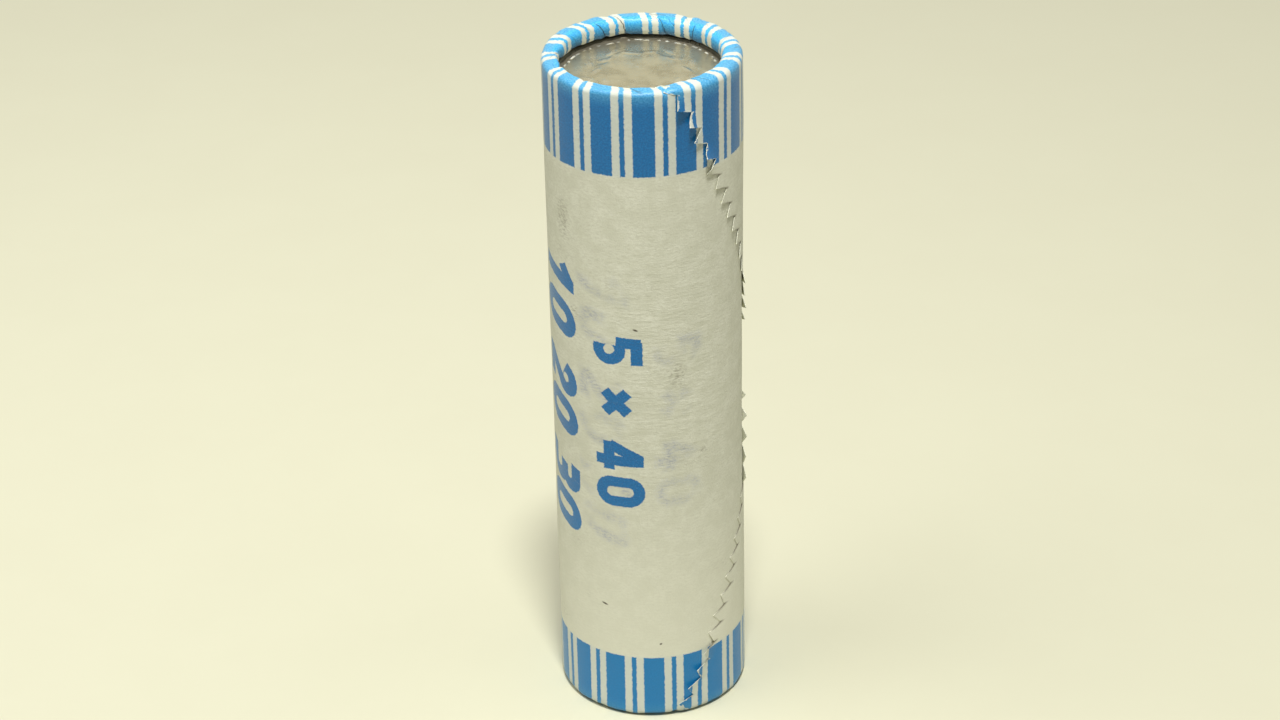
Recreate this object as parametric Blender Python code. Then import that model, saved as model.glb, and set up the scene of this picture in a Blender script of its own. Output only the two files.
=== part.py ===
"""Roll of five-cent coins in a printed paper wrapper, standing on its lower rim.

The frame is in metres with +Z up. The roll's axis is Z and its lower rim rests on z = 0. Angles round
the roll are counted from its front (-Y) towards its right (+X).
"""

import math

import bmesh
import bpy
from mathutils import Vector
from mathutils.geometry import delaunay_2d_cdt

# Coins: a plain-edged disc with a raised rim round each face
COIN_COUNT = 40
COIN_DIAMETER = 0.02121
COIN_THICKNESS = 0.00195
COIN_RIM_WIDTH = 0.00095
COIN_RIM_SLOPE = 0.00035
COIN_FIELD_DEPTH = 0.00021
COIN_GAP = 0.000004
COIN_TWIST = math.radians(137.5)
COIN_SIDES = 20
COIN_SHARP_ANGLE = math.radians(25)

# Paper: one strip wound round the stack, with its two long edges rolled over the end coins
PAPER_THICKNESS = 0.00013
PAPER_GAP = 0.00010
PAPER_CLEARANCE = 0.00012
PAPER_TURNS = 2.66
PAPER_CLIMB = math.radians(20)
RIM_HEART = 0.00025
RIM_LAND = 0.00070
RIM_TUCK = 0.00030
RIM_CLEARANCE = 0.00010
UPPER_FLANK = 0.00055
LOWER_FLANK = 0.00005
SIDES_PER_TURN = 36
BEND_STEPS = 2
PAPER_SHARP_ANGLE = math.radians(60)

# Cut end of the strip: a wide V with saw teeth on both legs
TAIL_APEX_HEIGHT = 0.04133
TAIL_APEX_ARC = 0.02226
TAIL_SLOPE_ABOVE = 0.489
TAIL_SLOPE_BELOW = 0.447
TOOTH_PITCH = 0.00243
TOOTH_SHORT_SIDE = 0.00071
TOOTH_REACH = 0.00204
FIRST_TOOTH_ABOVE = 0.00144
FIRST_TOOTH_BELOW = 0.00134

# Finishes: base colour, roughness and metallic value
COIN_FINISH = ((0.42, 0.39, 0.33, 1.0), 0.32, 1.0)
PAPER_FINISH = ((0.57, 0.56, 0.42, 1.0), 0.78, 0.0)

# Sizes that follow from those above
PAPER_PITCH = PAPER_THICKNESS + PAPER_GAP
PAPER_LAYERS = math.ceil(PAPER_TURNS)
WOUND_DEPTH = PAPER_PITCH * (PAPER_LAYERS - 1)
ROLL_RADIUS = COIN_DIAMETER / 2 + PAPER_CLEARANCE + PAPER_THICKNESS + WOUND_DEPTH
RIM_BEND = RIM_HEART + PAPER_THICKNESS + WOUND_DEPTH
UPPER_RIM_HEIGHT = 2 * RIM_BEND + UPPER_FLANK + RIM_CLEARANCE
LOWER_RIM_HEIGHT = 2 * RIM_BEND + LOWER_FLANK + RIM_CLEARANCE
COIN_PITCH = COIN_THICKNESS + COIN_GAP
STACK_HEIGHT = COIN_COUNT * COIN_PITCH - COIN_GAP
ROLL_HEIGHT = LOWER_RIM_HEIGHT + STACK_HEIGHT + UPPER_RIM_HEIGHT
COLUMN_ANGLE = math.tau / SIDES_PER_TURN
COLUMN_ARC = ROLL_RADIUS * COLUMN_ANGLE
WELD = 1e-7


def finish_material(name, finish):
    """A Principled material with one colour, roughness and metallic value."""
    colour, roughness, metallic = finish
    material = bpy.data.materials.new(name)
    material.use_nodes = True
    shader = material.node_tree.nodes["Principled BSDF"]
    shader.inputs["Base Color"].default_value = colour
    shader.inputs["Roughness"].default_value = roughness
    shader.inputs["Metallic"].default_value = metallic
    return material


def add_object(name, mesh, material):
    """An object in the scene that shows the mesh in the material."""
    piece = bpy.data.objects.new(name, mesh)
    bpy.context.scene.collection.objects.link(piece)
    if not mesh.materials:
        mesh.materials.append(material)
    return piece


def coin_mesh():
    """One coin, centred on its own origin: a disc whose two faces are sunk inside a raised rim."""
    shape = bmesh.new()
    bmesh.ops.create_cone(
        shape, cap_ends=True, segments=COIN_SIDES, depth=COIN_THICKNESS,
        radius1=COIN_DIAMETER / 2, radius2=COIN_DIAMETER / 2,
    )
    for face in [face for face in shape.faces if len(face.verts) == COIN_SIDES]:
        bmesh.ops.inset_region(shape, faces=[face], thickness=COIN_RIM_WIDTH)
        bmesh.ops.inset_region(shape, faces=[face], thickness=COIN_RIM_SLOPE, depth=-COIN_FIELD_DEPTH)
    mesh = bpy.data.meshes.new("coin")
    shape.to_mesh(mesh)
    shape.free()
    mesh.shade_smooth()
    mesh.set_sharp_from_angle(angle=COIN_SHARP_ANGLE)
    return mesh


def quarter_bend(centre, radius, quarter):
    """Points on one quarter of a bend. The first quarter leads from the wall to the rim's top."""
    points = []
    for step in range(BEND_STEPS + 1):
        turned = math.pi / 2 * (quarter + step / BEND_STEPS)
        points.append(centre + radius * Vector((math.cos(turned), -math.sin(turned))))
    return points


def rim_profile(inset, flank):
    """Outer face of the turn lying `inset` below the outermost, rolled over one rim.

    The (radius, depth) points, with depth counted from the rim's top, run from the end of the wall over
    the flat land that the roll can stand on, down the inner flank and back outwards just above the coin.
    """
    bend = RIM_BEND - inset
    outer_centre = Vector((ROLL_RADIUS - RIM_BEND, RIM_BEND))
    inner_centre = outer_centre - Vector((RIM_LAND, 0))
    under_centre = inner_centre + Vector((0, flank))
    points = quarter_bend(outer_centre, bend, 0)
    points += quarter_bend(inner_centre, bend, 1)
    points += quarter_bend(under_centre, bend, 2)
    points.append(under_centre + Vector((RIM_TUCK, bend)))
    return points


def turn_profile(inset):
    """Outer face of a whole turn, from the tucked lower edge to the tucked upper edge."""
    lower = rim_profile(inset, LOWER_FLANK)
    upper = [Vector((radius, ROLL_HEIGHT - depth)) for radius, depth in rim_profile(inset, UPPER_FLANK)]
    return list(reversed(lower)) + upper


def strip_rows():
    """Distance of each profile point across the strip. On the wall it equals the height."""
    profile = turn_profile(0)
    rows = [0.0]
    for start, end in zip(profile, profile[1:]):
        rows.append(rows[-1] + (end - start).length)
    wall_start = len(rim_profile(0, LOWER_FLANK)) - 1
    shift = profile[wall_start].y - rows[wall_start]
    return [row + shift for row in rows]


def tail_leg(side, slope, first_tooth, reach):
    """Saw teeth on one leg of the V, from its apex outwards, as (row, arc) pairs.

    The arc is counted round the roll from its front. Each tip follows a valley that is cut deeper by
    TOOTH_REACH, and the leg goes on until it has passed `reach` rows from the apex.
    """
    rise = TOOTH_PITCH / math.hypot(1, slope)
    points = []
    tip = first_tooth
    while tip - rise < reach:
        tip_arc = TAIL_APEX_ARC - slope * tip
        points.append((TAIL_APEX_HEIGHT + side * (tip - TOOTH_SHORT_SIDE), tip_arc + TOOTH_REACH))
        points.append((TAIL_APEX_HEIGHT + side * tip, tip_arc))
        tip += rise
    return points


def arc_at(points, row):
    """Arc of the cut end at one row, on straight lines between its points."""
    for (low_row, low_arc), (high_row, high_arc) in zip(points, points[1:]):
        if low_row <= row <= high_row:
            return low_arc + (high_arc - low_arc) * (row - low_row) / (high_row - low_row)
    raise ValueError("the row lies off the strip")


def tail_outline(rows):
    """The cut end from the lower to the upper edge as (row, arc) pairs, with a point on every grid row."""
    reach = max(rows[-1] - TAIL_APEX_HEIGHT, TAIL_APEX_HEIGHT - rows[0])
    below = tail_leg(-1, TAIL_SLOPE_BELOW, FIRST_TOOTH_BELOW, reach)
    above = tail_leg(1, TAIL_SLOPE_ABOVE, FIRST_TOOTH_ABOVE, reach)
    teeth = list(reversed(below)) + above
    inside = [row for row, arc in teeth if rows[0] < row < rows[-1]]
    return [(row, arc_at(teeth, row)) for row in sorted(set(inside) | set(rows))]


def with_column_points(outline, columns):
    """The cut end as (along, row) pairs, with a point added wherever a grid column crosses it."""
    points = [outline[0]]
    for start, end in zip(outline, outline[1:]):
        low, high = sorted((start[0], end[0]))
        crossings = [column for column in columns if low < column < high]
        for column in sorted(crossings, reverse=start[0] > end[0]):
            share = (column - start[0]) / (end[0] - start[0])
            points.append((column, start[1] + share * (end[1] - start[1])))
        points.append(end)
    return points


def flat_strip(rows, tail, column_count):
    """The strip laid flat and cut into triangles: (along, row) points and faces.

    `tail` holds the cut end's (along, row) points. Every grid row runs from the inner edge to the tail,
    and every grid column covers the stretches of paper that the V leaves standing.
    """
    columns = [COLUMN_ARC * index for index in range(1, column_count)]
    tail = with_column_points(tail, columns)
    points = [(0.0, row) for row in rows]
    edges = [(index, index + 1) for index in range(len(rows) - 1)]
    first = len(points)
    points += tail
    edges += [(first + index, first + index + 1) for index in range(len(tail) - 1)]
    for index, row in enumerate(rows):
        end = next(number for number, point in enumerate(tail) if point[1] == row)
        edges.append((index, first + end))
    for column in columns:
        stops = [point[1] for point in tail if point[0] == column]
        if tail[0][0] > column:
            stops.insert(0, rows[0])
        if tail[-1][0] > column:
            stops.append(rows[-1])
        for low, high in zip(stops[0::2], stops[1::2]):
            edges.append((len(points), len(points) + 1))
            points += [(column, low), (column, high)]
    flat = [Vector(point) for point in points]
    inside_constraints = 1
    corners, _, faces, *_ = delaunay_2d_cdt(flat, edges, [], inside_constraints, WELD)
    return corners, faces


def climb(wound):
    """How far the strip has climbed outwards after winding through an angle.

    Each turn keeps its radius until it nears the strip's inner edge, then climbs over it.
    """
    turns = math.floor(wound / math.tau)
    left = (turns + 1) * math.tau - wound
    return PAPER_PITCH * (turns + max(0.0, 1 - left / PAPER_CLIMB))


def wound_point(along, row, depth, rows, start_angle):
    """Place of a flat strip point on the roll, `depth` below the paper's outer face.

    Between two grid columns the paper is a flat facet.
    """
    column = math.floor(along / COLUMN_ARC)
    step = max(number for number in range(len(rows) - 1) if rows[number] <= row + WELD)
    share = (row - rows[step]) / (rows[step + 1] - rows[step])
    ends = []
    for index in (column, column + 1):
        wound = index * COLUMN_ANGLE
        profile = turn_profile(WOUND_DEPTH - climb(wound) + depth)
        radius, height = profile[step].lerp(profile[step + 1], share)
        angle = start_angle - wound
        ends.append(Vector((radius * math.sin(angle), -radius * math.cos(angle), height)))
    return ends[0].lerp(ends[1], along / COLUMN_ARC - column)


def closed_sheet(outer, inner, faces):
    """Corners and faces of a thin solid between two like skins, whose `faces` point to the inner side."""
    count = len(outer)
    outer_faces = [tuple(reversed(face)) for face in faces]
    inner_faces = [tuple(count + corner for corner in face) for face in faces]
    around = {edge for face in outer_faces for edge in zip(face, face[1:] + face[:1])}
    rim = sorted((start, end) for start, end in around if (end, start) not in around)
    rim_faces = [(end, start, count + start, count + end) for start, end in rim]
    return outer + inner, outer_faces + inner_faces + rim_faces


def wrapper_mesh():
    """The whole wound strip, as one thin solid."""
    rows = strip_rows()
    outline = tail_outline(rows)
    corner_angle = min(outline[0][1], outline[-1][1]) / ROLL_RADIUS
    start_angle = corner_angle + PAPER_TURNS * math.tau
    tail = [(start_angle * ROLL_RADIUS - arc, row) for row, arc in outline]
    column_count = math.ceil(PAPER_TURNS * SIDES_PER_TURN)
    corners, faces = flat_strip(rows, tail, column_count)
    skins = [
        [wound_point(corner.x, corner.y, depth, rows, start_angle) for corner in corners]
        for depth in (0, PAPER_THICKNESS)
    ]
    points, skin_faces = closed_sheet(*skins, [tuple(face) for face in faces])
    mesh = bpy.data.meshes.new("paper_wrapper")
    mesh.from_pydata(points, [], skin_faces)
    mesh.shade_smooth()
    mesh.set_sharp_from_angle(angle=PAPER_SHARP_ANGLE)
    return mesh


def build_wrapper():
    """The paper wrapper, one continuous strip."""
    add_object("paper_wrapper", wrapper_mesh(), finish_material("wrapper_paper", PAPER_FINISH))


def build_coins():
    """The stack of coins, numbered from the top. Each one's origin is its centre, on the roll's axis."""
    mesh = coin_mesh()
    metal = finish_material("coin_metal", COIN_FINISH)
    top_centre = ROLL_HEIGHT - UPPER_RIM_HEIGHT - COIN_THICKNESS / 2
    for index in range(COIN_COUNT):
        coin = add_object(f"coin_{index + 1:02d}", mesh, metal)
        coin.location.z = top_centre - index * COIN_PITCH
        coin.rotation_euler.z = index * COIN_TWIST


def main():
    for stale in list(bpy.data.objects):
        bpy.data.objects.remove(stale, do_unlink=True)
    build_wrapper()
    build_coins()


main()
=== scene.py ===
"""Looks of a coin roll: printed paper wound round a stack of coins, standing on a pale floor.

Sizes are in millimetres until a mesh is made. Angles round the roll are counted from its front (-Y)
towards its right (+X). The paper strip is wound outwards against that direction, and its print is placed
by two lengths on the flat strip: `across`, which equals the height on the wall, and `along`, which is 0
at the front of the second turn and grows to the right.
"""

import math
from functools import reduce

import bpy
import numpy as np
from mathutils import Matrix, Vector


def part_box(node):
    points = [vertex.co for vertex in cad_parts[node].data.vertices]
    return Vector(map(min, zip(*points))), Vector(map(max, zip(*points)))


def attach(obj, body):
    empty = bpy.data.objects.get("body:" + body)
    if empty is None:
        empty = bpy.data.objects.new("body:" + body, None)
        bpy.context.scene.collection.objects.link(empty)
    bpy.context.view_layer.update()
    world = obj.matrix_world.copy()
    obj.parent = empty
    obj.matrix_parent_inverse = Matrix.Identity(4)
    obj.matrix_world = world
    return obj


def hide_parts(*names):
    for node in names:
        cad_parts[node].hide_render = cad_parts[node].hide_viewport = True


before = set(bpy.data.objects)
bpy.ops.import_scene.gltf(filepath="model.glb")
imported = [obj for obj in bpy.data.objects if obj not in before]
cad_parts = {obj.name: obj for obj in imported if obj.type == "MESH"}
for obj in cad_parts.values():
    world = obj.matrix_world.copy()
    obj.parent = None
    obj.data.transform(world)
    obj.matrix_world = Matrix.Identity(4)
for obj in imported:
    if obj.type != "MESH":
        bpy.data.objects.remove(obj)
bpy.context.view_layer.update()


def srgb(red, green, blue):
    """A colour given as it looks on screen, from 0 to 255, as the linear values that a shader takes."""
    shares = [channel / 255 for channel in (red, green, blue)]
    return tuple(s / 12.92 if s <= 0.04045 else ((s + 0.055) / 1.055) ** 2.4 for s in shares) + (1.0,)


MM = 0.001

# Paper strip, as wound in the frame
PAPER = 0.13
PAPER_PITCH = 0.23
TURN_CLIMB = math.radians(20)
STRIP_START = math.radians(961)
WOUND_DEPTH = 2 * PAPER_PITCH
RIM_BEND = 0.84
RIM_LAND = 0.70
RIM_TUCK = 0.30
UPPER_FLANK = 0.55
LOWER_FLANK = 0.05
ROLL_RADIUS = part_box("paper_wrapper")[1].x / MM
ROLL_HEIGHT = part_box("paper_wrapper")[1].z / MM

# Cut end of the strip: a wide V with saw teeth, where -1 stands for its lower leg and 1 for its upper one
TAIL_HEIGHT = 41.33
TAIL_ARC = 22.26
TAIL_SLOPES = {-1: 0.485, 1: 0.489}
FIRST_TEETH = {-1: 0.26, 1: 1.44}
TOOTH_PITCH = 2.43
TOOTH_SHORT_SIDE = 0.71
TOOTH_REACH = 2.04
TOOTH_SCATTER = 0.12
TOOTH_ROOT = 0.9
TOOTH_STIFF = 0.3
BAND_TOOTH_SHIFT = 0.25
EDGE_THINNING = {-1: 0.6, 1: 0.4}
TAIL_HUG = 0.085
TAIL_EASE = 9.0

# Curl of the teeth, as a least and a largest bend per millimetre
LEG_CURLS = {-1: (0.0, 0.004), 1: (0.03, 0.06)}
APEX_CURLS = (0.08, 0.24)
TOP_BAND_CURLS = (0.10, 0.36)
LOW_BAND_CURLS = (0.10, 0.45)
APEX_REACH = 14.0
LEAST_CURL = 0.001

# Painted shade along the cut edges of the wall's teeth, for the shadow in the notches under the lifted
# teeth
NOTCH_SHADE_ROWS = (6.5, 72.0)
NOTCH_SHADE_DEPTHS = {-1: 1.0, 1: 0.95}
NOTCH_SHADE_WIDTHS = {-1: 0.85, 1: 0.6}
NOTCH_SHADE_SHARE = 0.45
NOTCH_SHADE_FADE = 0.75
NOTCH_SHADE_STOP = 0.14

# Unevenness of the paper. Each ripple: waves, strength, counts round the roll, lengths across the strip
WALL_RIPPLE = (14, 0.035, (0, 5), (14, 60))
RIM_RIPPLE = (16, 0.045, (6, 34), (2.5, 7.0))
PLEATS = 30
PLEAT_SLANTS = (-0.9, 0.2)
PLEAT_DEPTHS = (0.03, 0.10)
PLEAT_WIDTH = 0.30
PLEAT_HEART = 2.8

# Creases on the upper rim: degrees round the roll, lean over the rim, depth
CREASES = ((212.5, -0.80, 0.12), (195.0, -0.50, 0.14), (167.0, -0.66, 0.14), (140.2, 0.0, 0.12),
           (95.0, -0.45, 0.10), (318.0, -0.55, 0.07))
CREASE_HALF_WIDTH = 0.13
CREASE_ENDS = (2.3, 4.7)
CREASE_TAPER = 0.4
CREASE_WANDER = 0.5

# Grid of the strip
HIDDEN_STEP = math.radians(12)
SEEN_STEP = math.radians(2.1)
SEEN_FROM = math.radians(480)
TAIL_FROM = math.radians(800)
TAIL_COLUMNS = 72
TOOTH_SHARES = np.linspace(0, 1, 9)[1:]
BEND_ROWS = 6
ROW_CLEARANCE = 0.2
EXTRA_ROWS_ABOVE = 58.0
EXTRA_ROW_SHARES = (1 / 3, 2 / 3)
WIDE_ROW_STEP = 1.0
LENGTH_STEPS = 4000
PAPER_SHARP_ANGLE = math.radians(55)

# Maps of the strip: a flat one in millimetres, and a square one for textures, of which the paper in sight
# takes most
FLAT_MAP = "Strip"
SHEET_MAP = "OFBake"
MAP_OUTER = (0.0, 0.06, 0.945)
MAP_INNER = (0.955, 0.975, 1.0)
MAP_SHEET_TOP = 0.98
MAP_EDGE_START = 0.988

# Print: striped bands round both ends, and lines of digits between them
STRIPE_PERIOD = 4.78
STRIPE_CENTRE = 0.10
WIDE_STRIPE = 2.46
NARROW_STRIPE = 0.57
BAND_BOTTOM = 8.5
BAND_TOP = 72.0
PRINT_REPEAT = 37.7
PRINT_FROM = -25.0
PRINT_LINES = (
    dict(signs="10 20 30", top=60.6, foot=-15.5, cap=6.4, slant=0.27, half_width=0.122,
         step=0.80, blank=0.42, repeats=2),
    dict(signs="5 x 40", top=52.0, foot=-6.3, cap=5.7, slant=0.0, half_width=0.118,
         step=0.86, blank=0.34, repeats=1),
)

# Edges of the ink, and what it adds to the roughness
INK_BLUR = 0.05
INK_UNEVEN = 0.26
INK_GRAIN = 0.24
INK_GLOSS = -0.48
PINHOLE_EDGES = (0.64, 0.74)
PINHOLE_DEPTH = 0.5
FRAYED_EDGE = 2.4
FRAY_BLUR = 0.10
RIM_JAG = 0.55
RIM_TWIST = 0.62

# Noises of the paper and the ink: scale, detail, roughness. Each pair of edges is where a noise counts
# for nothing and where it counts in full
CLOUDS = (0.45, 3.0, 0.5)
CLOUD_EDGES = (0.32, 0.68)
FIBRES = (1.9, 5.0, 0.70)
FIBRE_STRETCH = (1.0, 2.0, 1.0)
FIBRE_EDGES = (0.36, 0.74)
FIBRE_INK_EDGES = (0.5, 0.8)
GRAIN = (10.0, 2.0, 0.6)
SCATTER = (0.16, 4.0, 0.6)
SCATTER_EDGES = (0.56, 0.78)
SCATTER_SHARE = 0.5
BLOTCHES = (0.22, 2.0, 0.5)
BLOTCH_EDGES = (0.36, 0.62)
CRINKLES = (1.0, 4.0, 0.65)
CRINKLE_STRETCH = (0.30, 1.1, 1.0)
FLECKS = (4.6, 3.0, 0.65)
FLECK_EDGES = (0.34, 0.68)
UNEVEN_INK = (2.6, 3.0, 0.6)
RAGGED_INK = (1.3, 3.0, 0.6)
JAGGED_INK = (1.9, 2.0, 0.5)
JAG_STRETCH = (1.0, 1.6, 1.0)

# Fine lines: scale, width, how much of them is left out
HAIRS = (1.1, 0.012, 0.5)
FINE_CREASES = (0.62, 0.020, 0.52)
FINE_CREASE_SLANT = 0.6
FINE_CREASE_STRETCH = 0.22
FINE_CREASE_SHARE = 0.6
SCRATCHES = (1.2, 0.010, 0.45)
SCRATCH_STRETCH = (0.35, 1.3, 1.0)
LINE_DETAIL = 1.0
LINE_GAP_SHIFT = (31.0, 17.0, 5.0)
LINE_GAP_SCALE = 0.6
LINE_GAP_BLUR = 0.08

# Marks on the paper: places along and across the strip, then half length and tilt of a speck, or half
# length and half height of a patch
SPECKS = ((-1.28, 53.0, 0.32, 0.3), (-5.80, 15.5, 0.42, 0.25), (0.96, 10.5, 0.17, -0.2),
          (-10.4, 56.6, 0.50, 0.4))
SPECK_HALF_WIDTH = 0.13
SPECK_EDGES = (1.3 * SPECK_HALF_WIDTH, 0.4 * SPECK_HALF_WIDTH)
SMUDGES = ((-10.6, 65.0, 1.6, 3.6), (-9.2, 53.6, 0.9, 1.5), (6.6, 36.2, 1.0, 0.7), (3.4, 47.0, 1.6, 2.6))
SMUDGE_FIBRES = (0.42, 0.66)
CRINKLE_PATCH = (2.0, 47.0, 15.0, 27.0)
CRINKLE_LEAST = 0.2
OVAL_BLUR = (1.0, 0.2)
GHOST_SHIFT = 7.0
GHOST_BLUR = (0.5, -0.6)
GHOST_FIBRES = (0.66, 0.34)
BAND_BLUR = 0.4
# Painted light: how the paler foot of the wall fades out upwards
FOOT_LIGHT_FADE = (36.0, 8.0)
# Where the near-black painted shade of the tuck sets in and is full
TUCK_SHADE_FROM = 0.66
TUCK_SHADE_TO = 0.80
ON_RIM = (0.0, 1.6)

# Roughness of the paper, and its bumps: the share of each texture, then the height in millimetres
PRINT_ROUGHNESS = 0.82
BARE_ROUGHNESS = 0.85
FIBRE_HEIGHT = 0.8
GRAIN_HEIGHT = 0.3
HAIR_HEIGHT = 0.25
FLECK_HEIGHT = 0.4
CRINKLE_HEIGHT = 4.5
CREASE_HEIGHT = -2.2
PRINT_BUMP = 0.035
BARE_BUMP = 0.03
PAPER_BUMP_STRENGTH = 0.6

# Colours of the paper and the ink. A tint is a colour and its share where it is strongest
PAPER_DULL = srgb(226, 227, 208)
PAPER_BRIGHT = srgb(238, 239, 222)
FIBRE_COLOUR = srgb(219, 219, 200)
HAIR_TINT = (srgb(245, 245, 233), 0.25)
# Painted light from the floor on the foot of the wall
FOOT_LIGHT_TINT = (srgb(247, 247, 227), 0.65)
RIM_PAPER = srgb(223, 227, 213)
GHOST_TINT = (srgb(168, 173, 188), 0.72)
BAND_TINT = (srgb(205, 221, 226), 0.40)
SMUDGE_TINT = (srgb(150, 146, 130), 0.62)
SPECK_COLOUR = srgb(86, 76, 62)
# Painted shade in the notches under the teeth
NOTCH_SHADE_COLOUR = srgb(104, 96, 77)
# Painted shade in the creases
CREASE_SHADE_TINT = (srgb(14, 28, 44), 0.9)
# Near-black painted shade for the gap under the rims' flanks
TUCK_SHADE_COLOUR = srgb(20, 20, 20)
WALL_BLUES = (srgb(0, 103, 170), srgb(8, 122, 192))
FIBRE_INK_TINT = (srgb(60, 140, 196), 0.25)
# Painted light from the floor on the ink at the foot of the wall
FOOT_INK_LIGHT_TINT = (srgb(24, 140, 208), 0.65)

# Painted light and shade: the rims' tops take paler blues where light falls on them, their inner flanks a
# darker one as shade
# Ink on the rims: its two blues, and where it sets in and is full, past the wall's end
RIM_INK_LIGHT_AND_SHADE = (
    (srgb(54, 156, 214), srgb(116, 198, 238), (-1.6, 1.3)),
    (srgb(40, 166, 242), srgb(98, 210, 254), (1.7, 2.4)),
    (srgb(36, 100, 150), srgb(68, 138, 188), (2.9, 4.4)),
)

# Coins
COIN_RADIUS = 10.605
COIN_ROUNDING = 0.12
COIN_ROUNDING_STEPS = ((0.3, 0.6), (0.6, 0.3), (1.0, 0.0))
COIN_RIM_RADIUS = 9.66
COIN_FIELD_RADIUS = 9.30
COIN_FIELD_EASE = 0.5
COIN_FIELD = 0.21
COIN_BACK_CENTRE = 0.5
COIN_SIDES = 288
COIN_RING_ZONES = ((0.3, 4.4, 0.3), (4.4, 6.3, 0.1), (6.3, 8.2, 0.2), (8.2, 9.05, 0.055), (9.1, 9.7, 0.12))
COIN_SHARP_ANGLE = math.radians(50)
COIN_SWELL = 0.022
SWELL_WAVES = ((3, 0.4), (5, 2.0), (7, 4.0))
SWELL_NUMBER = 1.1
PLATEAU_RADIUS = 5.2
PLATEAU_WAVES = ((3, 0.35, 1.0), (8, 0.28, 2.0), (13, 0.14, 0.5))
PLATEAU_SLOPE = 0.32
PLATEAU_HEIGHT = 0.04
DASHES = 47
DASH_RADIUS = 8.65
DASH_HALF_WIDTH = 0.16
DASH_HALF_LENGTHS = (0.12, 0.44)
DASH_RAISES = (0.45, 1.0)
DASH_STRAY = 0.12
DASH_JITTER = 0.15
DASH_SLOPE = 0.10
DASH_HEIGHT = 0.09
LEAVES = 9
WREATH_RADIUS = 5.6
WREATH_HALF_SPAN = math.radians(78)
LEAF_STAGGER = 0.55
LEAF_LEAN = 0.45
LEAF_HALF_LENGTH = 1.15
LEAF_HALF_WIDTH = 0.46
LEAF_HEIGHT = 0.05
LEAF_POLISH_AND_GLINT = 0.1

# Metal of the coins: noises, edges and tints as above, and what each texture adds to the roughness
COIN_BLOTCHES = (0.42, 4.0, 0.6)
COIN_BLOTCH_EDGES = (0.35, 0.7)
COIN_PITS = (3.2, 4.0, 0.7)
COIN_PIT_EDGES = (0.64, 0.76)
COIN_HAZE = (4.5, 8.0)
COIN_LIGHT = srgb(192, 185, 163)
COIN_DARK = srgb(170, 162, 139)
PIT_COLOUR = srgb(120, 106, 84)
SCRATCH_TINT = (srgb(226, 224, 214), 0.4)
# Near-white painted glint on the coin's polish
POLISH_GLINT_COLOUR = srgb(249, 247, 236)
COIN_METALLIC = 0.72
POLISH_METALLIC = -0.45
COIN_ROUGHNESS = 0.10
PIT_ROUGHNESS = 0.16
BLOTCH_ROUGHNESS = 0.14
HAZE_ROUGHNESS = 0.05
POLISH_ROUGHNESS = -0.14
SCRATCH_HEIGHT = -0.3
COIN_BUMP = 0.012
COIN_BUMP_STRENGTH = 0.5

# Camera, fitted to the photograph
CAMERA_TARGET = Vector((-0.808, 0.0, 43.041))
CAMERA_DISTANCE = 358.615
CAMERA_ELEVATION = math.radians(29.251)
CAMERA_ROLL = math.radians(-1.217)
CAMERA_LENS = 86.395
CAMERA_SENSOR = 36.0
CAMERA_CLIP = 10.0

# Light, floor and backdrop, in metres. Each lamp: place, size, power
LAMPS = {
    "front_lamp": ((0.04, -0.43, 1.36), 0.22, 18.0),
    "left_lamp": ((-0.60, -0.17, 1.05), 0.70, 3.8),
    "right_lamp": ((0.60, -0.12, 1.05), 0.70, 1.1),
}
LAMP_COLOUR = (1.0, 0.985, 0.95)
LAMP_AIM = Vector((0.0, 0.0, 0.04))
FILL_COLOUR = (0.20, 0.199, 0.195, 1.0)
BACKDROP_COLOUR = (0.80, 0.79, 0.59, 1.0)
BLACK = (0.0, 0.0, 0.0, 1.0)
FLOOR_HALF = 3.0
FLOOR_LIGHT_SPOT = (-0.08, 0.03, 0.0)
# Painted pool of light on the floor: where it fades, and its lit and unlit colours
FLOOR_POOL_FADE = (0.02, 0.34)
FLOOR_POOL_COLOUR = srgb(218, 217, 192)
FLOOR_OFF_POOL_COLOUR = srgb(200, 199, 176)
FLOOR_SPECKLES = (60.0, 5.0, 0.6)
FLOOR_SPECKLE_EDGES = (0.3, 0.7)
FLOOR_SPECKLE_TINT = (srgb(190, 184, 158), 0.04)
FLOOR_ROUGHNESS = 0.85
FLOOR_BOUNCE = 0.7
FLOOR_FAR = (0.27, 0.62)

rng = np.random.default_rng(7)
coin_rng = np.random.default_rng(11)


class Value:
    """One output of a node, which can be reckoned with: each operator adds a node to the tree."""

    def __init__(self, shade, socket):
        self.shade = shade
        self.socket = socket

    def __add__(self, other):
        return self.shade.math("ADD", self, other)

    def __sub__(self, other):
        return self.shade.math("SUBTRACT", self, other)

    def __rsub__(self, other):
        return self.shade.math("SUBTRACT", other, self)

    def __mul__(self, other):
        return self.shade.math("MULTIPLY", self, other)

    def __abs__(self):
        return self.shade.math("ABSOLUTE", self)


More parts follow.
